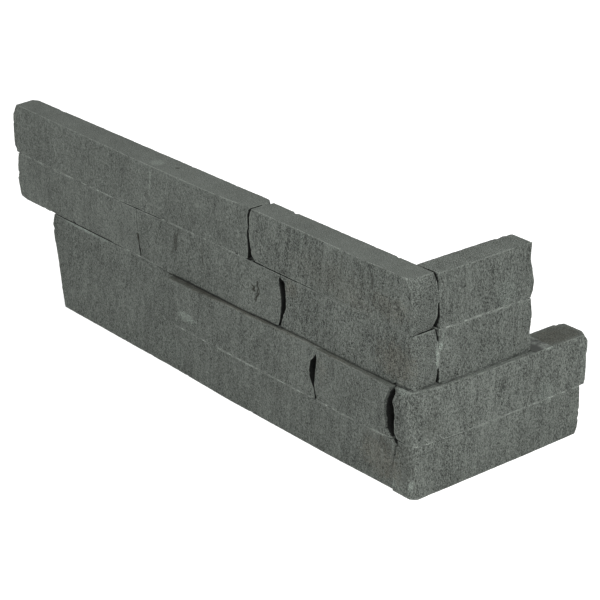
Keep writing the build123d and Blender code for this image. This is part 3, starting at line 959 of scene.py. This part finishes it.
def sandstone_material():
    """Dark grey-green stone: streaky and speckled where split, calm where sawn."""
    material = bpy.data.materials.new("sandstone_split_and_sawn")
    nodes = Nodes(material)
    split = nodes.attribute("split")
    streaky = nodes.attribute("streaky")
    streaks = nodes.pattern("streaks")
    grain = nodes.pattern("grain")
    fibres = nodes.pattern("fibres", lean=FIBRE_LEAN)
    clouds = nodes.pattern("clouds")
    drift = nodes.pattern("drift")
    rough_tone = nodes.weighted(
        (streaks, nodes.span(streaky, 0, 1, 0.34, 0.60)),
        (grain, nodes.span(streaky, 0, 1, 0.70, 0.50)),
        (fibres, nodes.attribute("fibres")),
        (clouds, 0.16),
        (drift, 0.14),
    )
    calm_tone = nodes.weighted((grain, 0.46), (streaks, 0.22), (clouds, 0.10), (drift, 0.08))
    tone = nodes.mix(split, calm_tone, rough_tone, data_type="FLOAT")
    tone = nodes.math("MULTIPLY", tone, nodes.attribute("grain"))
    colour = nodes.mix(nodes.span(tone, -0.9, 0.9), grey(DARK_GRAIN), grey(LIGHT_GRAIN))
    glints = nodes.math("MULTIPLY", nodes.pattern("glints", 0, 0.5), nodes.attribute("grain"))
    colour = nodes.mix(glints, colour, grey(GLINT))
    colour = nodes.tinted(colour, nodes.attribute("shade"))
    patchy = nodes.weighted((clouds, 0.3), (fibres, -0.6))
    brown = nodes.math("MULTIPLY", nodes.attribute("brown"), nodes.span(patchy, -0.7, 0.7, 0.4, 1.0))
    colour = nodes.mix(brown, colour, nodes.tinted(colour, BROWN_TINT))
    # Painted highlight on the arrises, broken up by noise and grain
    edge = nodes.math("MULTIPLY", nodes.attribute("arris"), nodes.pattern("highlight_breaks", 0, 1))
    edge = nodes.math("MULTIPLY", edge, nodes.span(grain, -1, 1, 0.4, 0.9))
    colour = nodes.mix(edge, colour, grey(ARRIS_HIGHLIGHT))
    smear = nodes.math("MULTIPLY", nodes.attribute("pale"), nodes.span(grain, -0.7, 0.8, 0.15, 1.0))
    colour = nodes.mix(smear, colour, PALE_FILM)
    # Darkening towards dark brown: blots, strokes, back edges, and the painted shade and dirt on ledges
    colour = nodes.mix(nodes.attribute("dark"), colour, DIRT_AND_SHADE)
    # Painted shade inside open seams: the stone turns near black
    colour = nodes.mix(nodes.attribute("joint"), colour, grey(JOINT_SHADE))
    bump = nodes.add("ShaderNodeBump")
    nodes.put(bump.inputs["Distance"], BUMP_HEIGHT * MM)
    nodes.put(bump.inputs["Strength"], nodes.span(split, 0, 1, SAWN_BUMP, SPLIT_BUMP))
    nodes.put(bump.inputs["Height"], tone)
    nodes.put(nodes.shader.inputs["Base Color"], colour)
    nodes.put(nodes.shader.inputs["Normal"], bump.outputs[0])
    nodes.put(nodes.shader.inputs["Roughness"], STONE_ROUGHNESS)
    nodes.put(nodes.shader.inputs["Specular IOR Level"], STONE_SPECULAR)
    return material


def glue_material():
    """Stone adhesive: pale where it was wiped flush, dark where it lies in shade."""
    material = bpy.data.materials.new("stone_adhesive")
    nodes = Nodes(material)
    blotches = nodes.pattern("glue_blotches", 0, 1)
    specks = nodes.pattern("glue_specks", 0.35, 1)
    share = nodes.math("MULTIPLY", nodes.attribute("pale"), nodes.math("MULTIPLY", blotches, specks))
    colour = nodes.mix(share, grey(GLUE_IN_SHADE), grey(GLUE_WIPED))
    nodes.put(nodes.shader.inputs["Base Color"], colour)
    nodes.put(nodes.shader.inputs["Roughness"], GLUE_ROUGHNESS)
    return material


def floor():
    """Plain white floor that shows the panel's soft shadow."""
    mesh = bpy.data.meshes.new("studio_floor")
    signs = ((-1, -1), (1, -1), (1, 1), (-1, 1))
    mesh.from_pydata([(x * FLOOR_REACH, y * FLOOR_REACH, 0) for x, y in signs], [], [(0, 1, 2, 3)])
    plane = bpy.data.objects.new("studio_floor", mesh)
    bpy.context.collection.objects.link(plane)
    material = bpy.data.materials.new("studio_white")
    nodes = Nodes(material)
    seen = nodes.add("ShaderNodeLightPath").outputs["Is Camera Ray"]
    nodes.put(nodes.shader.inputs["Base Color"], FLOOR_WHITE)
    nodes.put(nodes.shader.inputs["Roughness"], 1.0)
    nodes.put(nodes.shader.inputs["Specular IOR Level"], 0.0)
    nodes.put(nodes.shader.inputs["Emission Color"], WHITE)
    nodes.put(nodes.shader.inputs["Emission Strength"], nodes.math("MULTIPLY", seen, FLOOR_GLOW))
    mesh.materials.append(material)


def world():
    """Even white surroundings that also give most of the light."""
    surroundings = bpy.data.worlds.new("studio")
    bpy.context.scene.world = surroundings
    surroundings.use_nodes = True
    tree = surroundings.node_tree
    background = tree.nodes["Background"]
    background.inputs["Color"].default_value = WHITE
    seen = tree.nodes.new("ShaderNodeLightPath").outputs["Is Camera Ray"]
    strength = tree.nodes.new("ShaderNodeMapRange")
    strength.inputs["To Min"].default_value = WORLD_LIGHT
    strength.inputs["To Max"].default_value = BACKDROP
    tree.links.new(seen, strength.inputs["Value"])
    tree.links.new(strength.outputs[0], background.inputs["Strength"])


def lamp(name, azimuth, elevation, distance, size, power):
    """Soft square lamp that looks at the middle of the panel."""
    light = bpy.data.lights.new(name, "AREA")
    light.size = size
    light.energy = power
    lamp_object = bpy.data.objects.new(name, light)
    bpy.context.collection.objects.link(lamp_object)
    turn, lift = math.radians(azimuth), math.radians(elevation)
    out = Vector((math.sin(turn) * math.cos(lift), -math.cos(turn) * math.cos(lift), math.sin(lift)))
    middle = (CAD_BOX[0] + CAD_BOX[1]) / 2
    lamp_object.location = middle + out * distance
    lamp_object.rotation_mode = "QUATERNION"
    lamp_object.rotation_quaternion = (-out).to_track_quat("-Z", "Y")


def camera():
    """The photograph's view."""
    view = bpy.data.objects.new("camera", bpy.data.cameras.new("camera"))
    bpy.context.collection.objects.link(view)
    view.data.lens = CAMERA_LENS
    turn = Matrix.Rotation(math.radians(CAMERA_AZIMUTH), 4, "Z")
    lift = Matrix.Rotation(math.radians(90 - CAMERA_ELEVATION), 4, "X")
    roll = Matrix.Rotation(math.radians(CAMERA_ROLL), 4, "Z")
    view.matrix_world = Matrix.Translation(CAMERA_PLACE) @ turn @ lift @ roll
    bpy.context.scene.camera = view


stone_finish = sandstone_material()
glue_finish = glue_material()
for number, name in enumerate(sorted(frame["nodes"])):
    if name.endswith("_stone"):
        rough_stone(name, number).data.materials.append(stone_finish)
    else:
        shaped_glue(name).data.materials.append(glue_finish)
floor()
world()
lamp("key", azimuth=78, elevation=42, distance=1.6, size=1.0, power=17)
lamp("fill", azimuth=5, elevation=40, distance=1.8, size=1.2, power=10)
camera()
bpy.context.scene.view_settings.view_transform = "Standard"
